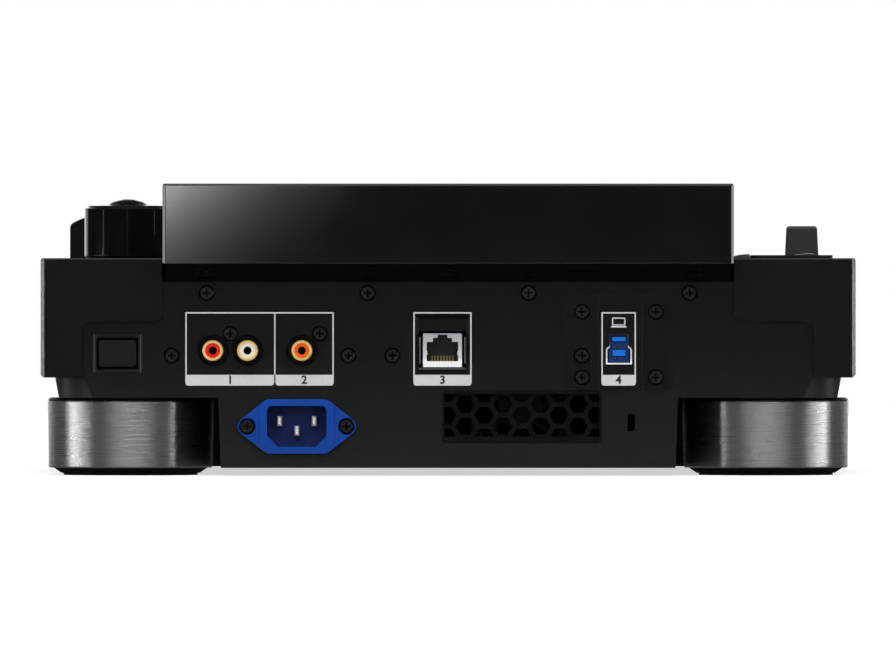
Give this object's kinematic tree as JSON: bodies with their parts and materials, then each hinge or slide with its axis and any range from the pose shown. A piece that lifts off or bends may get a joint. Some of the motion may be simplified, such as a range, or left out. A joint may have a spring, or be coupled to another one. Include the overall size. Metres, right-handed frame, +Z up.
{
  "type": "tabletop dj media player",
  "caption": "Deep black tabletop player with jog wheel, raised display, tempo fader, round metal feet and a rear panel of audio, network, USB and mains connectors.",
  "frame": {"origin": "centre of the footprint, on the table", "axes": "+Z up, front faces -Y, rear panel faces +Y, +X to the right seen from the front"},
  "size_m": [0.329, 0.453, 0.1177],
  "materials": {
    "body_black": "moulded black, fine satin grain",
    "panel_black": "black powder-coated sheet steel",
    "pan_grey": "dark grey painted sheet steel",
    "gloss_black": "polished black plastic",
    "screen_glass": "dark glass over a screen",
    "screen_module": "display module in a dark frame",
    "foot_metal": "turned and brushed metal",
    "foot_rubber": "matt black rubber",
    "screw_black": "blackened steel",
    "screw_steel": "zinc-plated steel",
    "jack_black": "black moulded plastic",
    "gold": "gold-plated brass",
    "insert_colours": "coloured plastic: red, white and orange",
    "shield": "bright plated steel shell",
    "port_black": "black plastic with gold contacts",
    "usb_blue": "blue moulded plastic",
    "inlet_blue": "blue moulded plastic",
    "pin_metal": "nickel-plated blades",
    "pcb": "green circuit board with fitted parts",
    "fan_black": "black plastic",
    "sheet_steel": "zinc-plated sheet steel",
    "jog_black": "satin black plastic",
    "jog_metal": "dark anodised aluminium with circular brushing",
    "knob_black": "black plastic, fine grain",
    "key_grey": "dark translucent key tops",
    "key_dark": "dark key tops",
    "spindle_metal": "turned steel"
  },
  "bodies": {
    "chassis": {"top_cover": "body_black", "bottom_pan": "pan_grey", "rear_panel": "panel_black", "vent_grille": "jack_black", "usb_plate": "panel_black", "foot_shells": "foot_metal", "foot_pads": "foot_rubber", "foot_screws": "screw_steel", "panel_screws": "screw_black", "display_housing": "gloss_black", "display_glass": "screen_glass", "display_panel": "screen_module", "display_screws": "screw_black", "jack_housings": "jack_black", "jack_barrels": "gold", "jack_inserts": "insert_colours", "lan_jack": "shield", "lan_insert": "port_black", "usb_b_jack": "shield", "usb_b_insert": "usb_blue", "ac_inlet": "inlet_blue", "ac_pins": "pin_metal", "switch_guard": "knob_black", "main_board": "pcb", "power_supply": "pcb", "control_board": "pcb", "fan_frame": "fan_black", "jog_base": "jack_black", "jog_display": "screen_glass", "fader_track": "sheet_steel", "media_port": "knob_black", "disc_drive": "sheet_steel"},
    "jog": {"jog_wheel": "jog_black", "jog_plate": "jog_metal"},
    "tempo_fader": {"tempo_lever": "spindle_metal", "tempo_cap": "knob_black"},
    "selector_shaft": {"selector_shaft": "spindle_metal"},
    "selector_knob": {"selector_knob": "knob_black"},
    "direction_lever": {"direction_lever": "knob_black"},
    "jog_adjust_knob": {"jog_adjust_knob": "knob_black"},
    "vinyl_speed_knob": {"vinyl_speed_knob": "knob_black"},
    "fan_rotor": {"fan_rotor": "fan_black"},
    "drive_turntable": {"drive_turntable": "jack_black"},
    "play_button": {"play_button": "key_dark"},
    "cue_button": {"cue_button": "key_dark"},
    "hot_cue_a": {"hot_cue_a": "key_grey"},
    "hot_cue_b": {"hot_cue_b": "key_grey"},
    "hot_cue_c": {"hot_cue_c": "key_grey"},
    "hot_cue_d": {"hot_cue_d": "key_grey"},
    "hot_cue_e": {"hot_cue_e": "key_grey"},
    "hot_cue_f": {"hot_cue_f": "key_grey"},
    "hot_cue_g": {"hot_cue_g": "key_grey"},
    "hot_cue_h": {"hot_cue_h": "key_grey"},
    "loop_in_button": {"loop_in_button": "key_grey"},
    "loop_out_button": {"loop_out_button": "key_grey"},
    "beat_sync_button": {"beat_sync_button": "key_grey"},
    "master_button": {"master_button": "key_grey"},
    "tempo_reset_button": {"tempo_reset_button": "key_grey"},
    "eject_button": {"eject_button": "key_grey"},
    "power_button": {"power_button": "key_dark"}
  },
  "joints": [
    {"name": "jog_spin", "type": "hinge", "parent": "chassis", "child": "jog", "pos_m": [0, -0.07, 0.095], "axis": [0, 0, 1], "continuous": true},
    {"name": "tempo_slide", "type": "slide", "parent": "chassis", "child": "tempo_fader", "axis": [0, 1, 0], "range_m": [-0.05, 0.05]},
    {"name": "selector_push", "type": "slide", "parent": "chassis", "child": "selector_shaft", "axis": [0, 0, -1], "range_m": [0, 0.0008], "stiffness_N_per_m": 500, "springref_m": -0.003},
    {"name": "selector_turn", "type": "hinge", "parent": "selector_shaft", "child": "selector_knob", "pos_m": [0.1324, 0.057, 0.095], "axis": [0, 0, 1], "continuous": true},
    {"name": "direction_tilt", "type": "hinge", "parent": "chassis", "child": "direction_lever", "pos_m": [-0.14875, -0.052, 0.0803], "axis": [1, 0, 0], "range_deg": [-15, 15]},
    {"name": "jog_adjust_turn", "type": "hinge", "parent": "chassis", "child": "jog_adjust_knob", "pos_m": [0.144, 0.014, 0.09], "axis": [0, 0, 1], "range_deg": [-150, 150]},
    {"name": "vinyl_speed_turn", "type": "hinge", "parent": "chassis", "child": "vinyl_speed_knob", "pos_m": [0.121, 0.014, 0.09], "axis": [0, 0, 1], "range_deg": [-150, 150]},
    {"name": "fan_spin", "type": "hinge", "parent": "chassis", "child": "fan_rotor", "pos_m": [-0.02925, 0.1908, 0.0275], "axis": [0, 1, 0], "continuous": true},
    {"name": "disc_spin", "type": "hinge", "parent": "chassis", "child": "drive_turntable", "pos_m": [0, -0.1555, 0.057], "axis": [0, 0, 1], "continuous": true},
    {"name": "play_press", "type": "slide", "parent": "chassis", "child": "play_button", "axis": [0, 0, -1], "range_m": [0, 0.0008], "stiffness_N_per_m": 400, "springref_m": -0.002},
    {"name": "cue_press", "type": "slide", "parent": "chassis", "child": "cue_button", "axis": [0, 0, -1], "range_m": [0, 0.0008], "stiffness_N_per_m": 400, "springref_m": -0.002},
    {"name": "hot_cue_a_press", "type": "slide", "parent": "chassis", "child": "hot_cue_a", "axis": [0, 0, -1], "range_m": [0, 0.0008], "stiffness_N_per_m": 400, "springref_m": -0.002},
    {"name": "hot_cue_b_press", "type": "slide", "parent": "chassis", "child": "hot_cue_b", "axis": [0, 0, -1], "range_m": [0, 0.0008], "stiffness_N_per_m": 400, "springref_m": -0.002},
    {"name": "hot_cue_c_press", "type": "slide", "parent": "chassis", "child": "hot_cue_c", "axis": [0, 0, -1], "range_m": [0, 0.0008], "stiffness_N_per_m": 400, "springref_m": -0.002},
    {"name": "hot_cue_d_press", "type": "slide", "parent": "chassis", "child": "hot_cue_d", "axis": [0, 0, -1], "range_m": [0, 0.0008], "stiffness_N_per_m": 400, "springref_m": -0.002},
    {"name": "hot_cue_e_press", "type": "slide", "parent": "chassis", "child": "hot_cue_e", "axis": [0, 0, -1], "range_m": [0, 0.0008], "stiffness_N_per_m": 400, "springref_m": -0.002},
    {"name": "hot_cue_f_press", "type": "slide", "parent": "chassis", "child": "hot_cue_f", "axis": [0, 0, -1], "range_m": [0, 0.0008], "stiffness_N_per_m": 400, "springref_m": -0.002},
    {"name": "hot_cue_g_press", "type": "slide", "parent": "chassis", "child": "hot_cue_g", "axis": [0, 0, -1], "range_m": [0, 0.0008], "stiffness_N_per_m": 400, "springref_m": -0.002},
    {"name": "hot_cue_h_press", "type": "slide", "parent": "chassis", "child": "hot_cue_h", "axis": [0, 0, -1], "range_m": [0, 0.0008], "stiffness_N_per_m": 400, "springref_m": -0.002},
    {"name": "loop_in_press", "type": "slide", "parent": "chassis", "child": "loop_in_button", "axis": [0, 0, -1], "range_m": [0, 0.0008], "stiffness_N_per_m": 400, "springref_m": -0.002},
    {"name": "loop_out_press", "type": "slide", "parent": "chassis", "child": "loop_out_button", "axis": [0, 0, -1], "range_m": [0, 0.0008], "stiffness_N_per_m": 400, "springref_m": -0.002},
    {"name": "beat_sync_press", "type": "slide", "parent": "chassis", "child": "beat_sync_button", "axis": [0, 0, -1], "range_m": [0, 0.0008], "stiffness_N_per_m": 400, "springref_m": -0.002},
    {"name": "master_press", "type": "slide", "parent": "chassis", "child": "master_button", "axis": [0, 0, -1], "range_m": [0, 0.0008], "stiffness_N_per_m": 400, "springref_m": -0.002},
    {"name": "tempo_reset_press", "type": "slide", "parent": "chassis", "child": "tempo_reset_button", "axis": [0, 0, -1], "range_m": [0, 0.0008], "stiffness_N_per_m": 400, "springref_m": -0.002},
    {"name": "eject_press", "type": "slide", "parent": "chassis", "child": "eject_button", "axis": [0, 0, -1], "range_m": [0, 0.0008], "stiffness_N_per_m": 400, "springref_m": -0.002},
    {"name": "power_press", "type": "slide", "parent": "chassis", "child": "power_button", "axis": [0, -1, 0], "range_m": [0, 0.0006], "stiffness_N_per_m": 800, "springref_m": -0.002}
  ]
}
